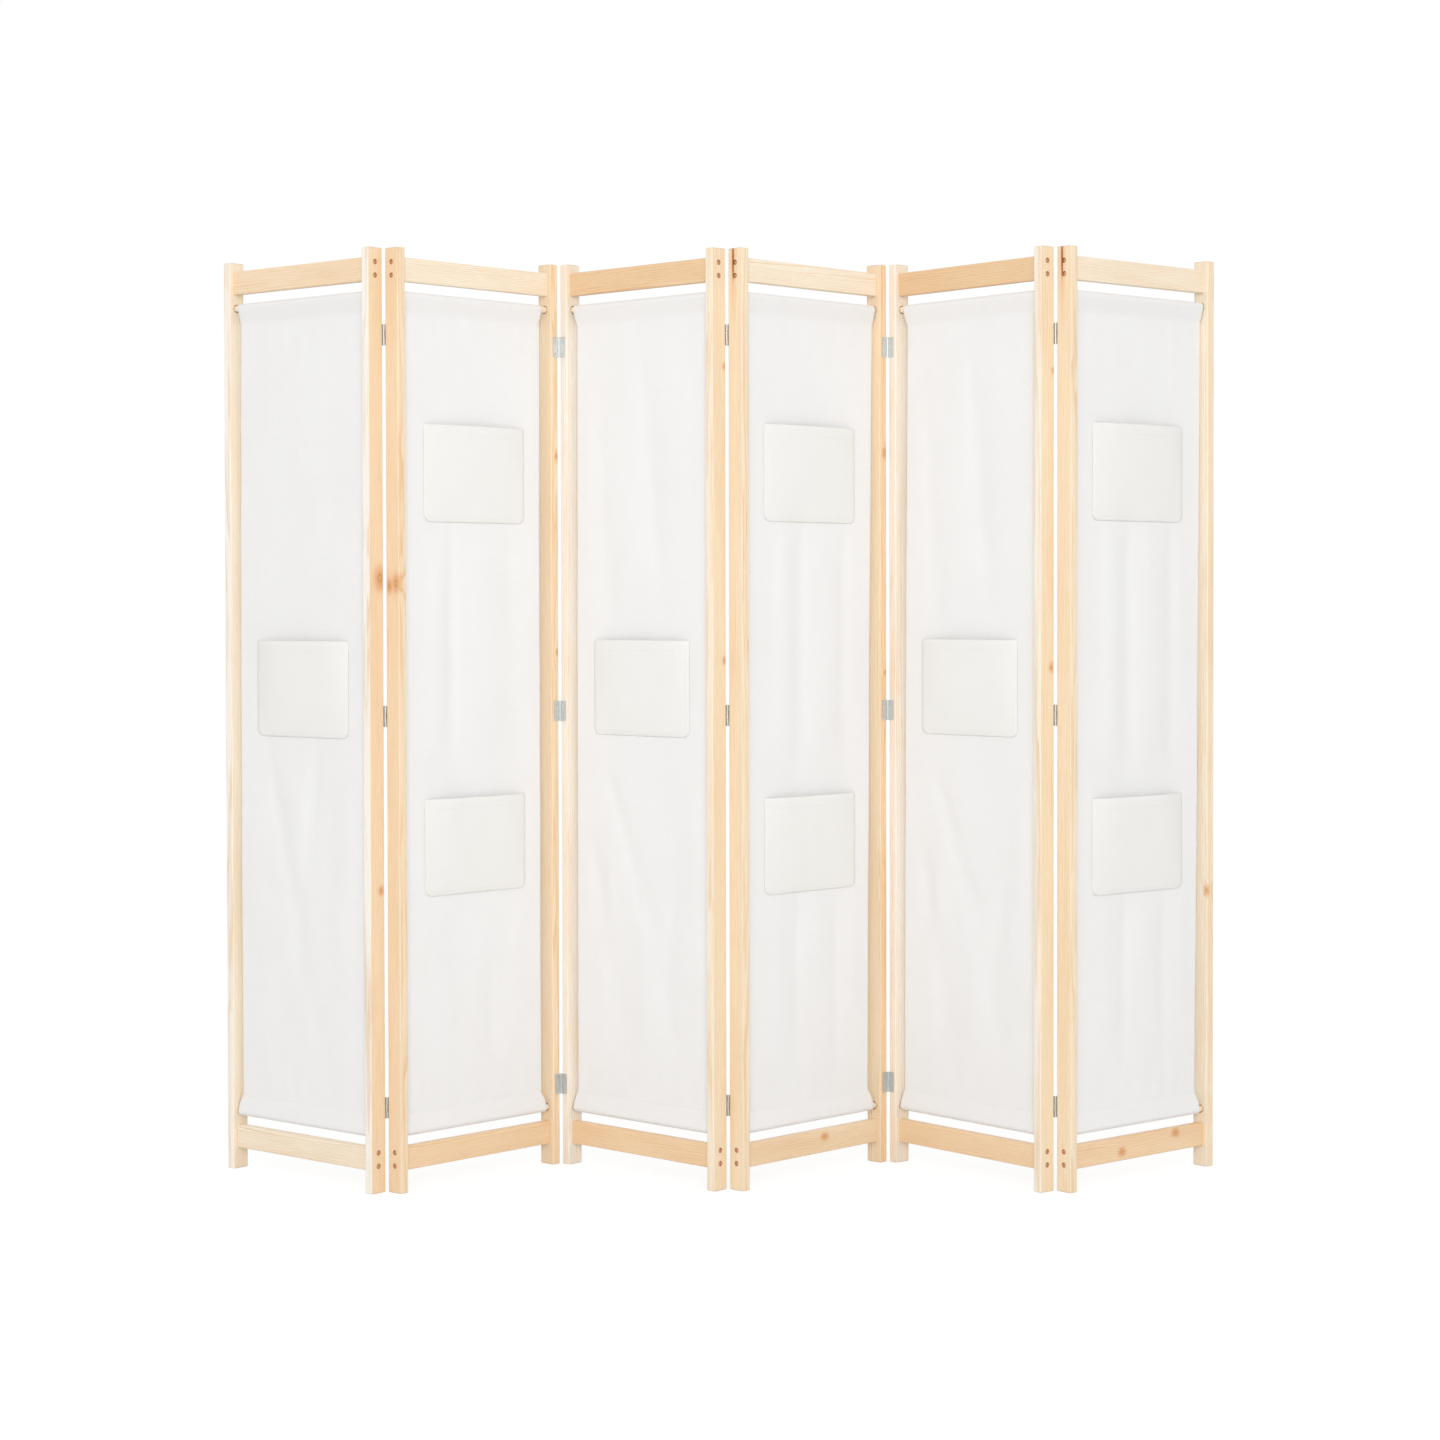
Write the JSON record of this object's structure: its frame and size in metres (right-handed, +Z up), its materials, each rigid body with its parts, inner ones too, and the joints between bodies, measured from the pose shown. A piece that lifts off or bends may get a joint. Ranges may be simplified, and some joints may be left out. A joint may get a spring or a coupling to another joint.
{
  "type": "folding room divider",
  "caption": "Free-standing folding screen: hinged pine frames in a zigzag, each with canvas slung between round rods and pockets sewn to its front.",
  "frame": {"origin": "middle of the bounding box, on the floor", "axes": "+X along the screen to the viewer's right, -Y towards the viewer and the pocket side, +Z up"},
  "size_m": [1.856, 0.3348, 1.7],
  "materials": {
    "pine": "clear satin on planed pine",
    "canvas": "plain woven cotton, cream white",
    "hinge_steel": "zinc-plated, light grey"
  },
  "bodies": {
    "panel_1": {"panel_1_stile_left": "pine", "panel_1_stile_right": "pine", "panel_1_rail_top": "pine", "panel_1_rail_bottom": "pine", "panel_1_rod_top": "pine", "panel_1_rod_bottom": "pine", "panel_1_fabric": "canvas"},
    "panel_2": {"panel_2_stile_left": "pine", "panel_2_stile_right": "pine", "panel_2_rail_top": "pine", "panel_2_rail_bottom": "pine", "panel_2_rod_top": "pine", "panel_2_rod_bottom": "pine", "panel_2_fabric": "canvas", "hinge_1_2_bottom_leaf": "hinge_steel", "hinge_1_2_middle_leaf": "hinge_steel", "hinge_1_2_top_leaf": "hinge_steel"},
    "panel_3": {"panel_3_stile_left": "pine", "panel_3_stile_right": "pine", "panel_3_rail_top": "pine", "panel_3_rail_bottom": "pine", "panel_3_rod_top": "pine", "panel_3_rod_bottom": "pine", "panel_3_fabric": "canvas", "hinge_2_3_bottom_leaf": "hinge_steel", "hinge_2_3_middle_leaf": "hinge_steel", "hinge_2_3_top_leaf": "hinge_steel"},
    "panel_4": {"panel_4_stile_left": "pine", "panel_4_stile_right": "pine", "panel_4_rail_top": "pine", "panel_4_rail_bottom": "pine", "panel_4_rod_top": "pine", "panel_4_rod_bottom": "pine", "panel_4_fabric": "canvas", "hinge_3_4_bottom_leaf": "hinge_steel", "hinge_3_4_middle_leaf": "hinge_steel", "hinge_3_4_top_leaf": "hinge_steel"},
    "panel_5": {"panel_5_stile_left": "pine", "panel_5_stile_right": "pine", "panel_5_rail_top": "pine", "panel_5_rail_bottom": "pine", "panel_5_rod_top": "pine", "panel_5_rod_bottom": "pine", "panel_5_fabric": "canvas", "hinge_4_5_bottom_leaf": "hinge_steel", "hinge_4_5_middle_leaf": "hinge_steel", "hinge_4_5_top_leaf": "hinge_steel"},
    "panel_6": {"panel_6_stile_left": "pine", "panel_6_stile_right": "pine", "panel_6_rail_top": "pine", "panel_6_rail_bottom": "pine", "panel_6_rod_top": "pine", "panel_6_rod_bottom": "pine", "panel_6_fabric": "canvas", "hinge_5_6_bottom_leaf": "hinge_steel", "hinge_5_6_middle_leaf": "hinge_steel", "hinge_5_6_top_leaf": "hinge_steel"}
  },
  "joints": [
    {"name": "hinge_1_2", "type": "hinge", "parent": "panel_2", "child": "panel_1", "pos_m": [-0.60223, -0.14082, 0], "axis": [0, 0, 1], "range_deg": [-91.5, 88.5]},
    {"name": "hinge_2_3", "type": "hinge", "parent": "panel_3", "child": "panel_2", "pos_m": [-0.30212, 0.13133, 0], "axis": [0, 0, -1], "range_deg": [-88.5, 91.5]},
    {"name": "hinge_3_4", "type": "hinge", "parent": "panel_3", "child": "panel_4", "pos_m": [0.01404, -0.12199, 0], "axis": [0, 0, -1], "range_deg": [-89.5, 90.5]},
    {"name": "hinge_4_5", "type": "hinge", "parent": "panel_4", "child": "panel_5", "pos_m": [0.31885, 0.14488, 0], "axis": [0, 0, 1], "range_deg": [-83, 97]},
    {"name": "hinge_5_6", "type": "hinge", "parent": "panel_5", "child": "panel_6", "pos_m": [0.6043, -0.14261, 0], "axis": [0, 0, -1], "range_deg": [-88, 92]}
  ]
}
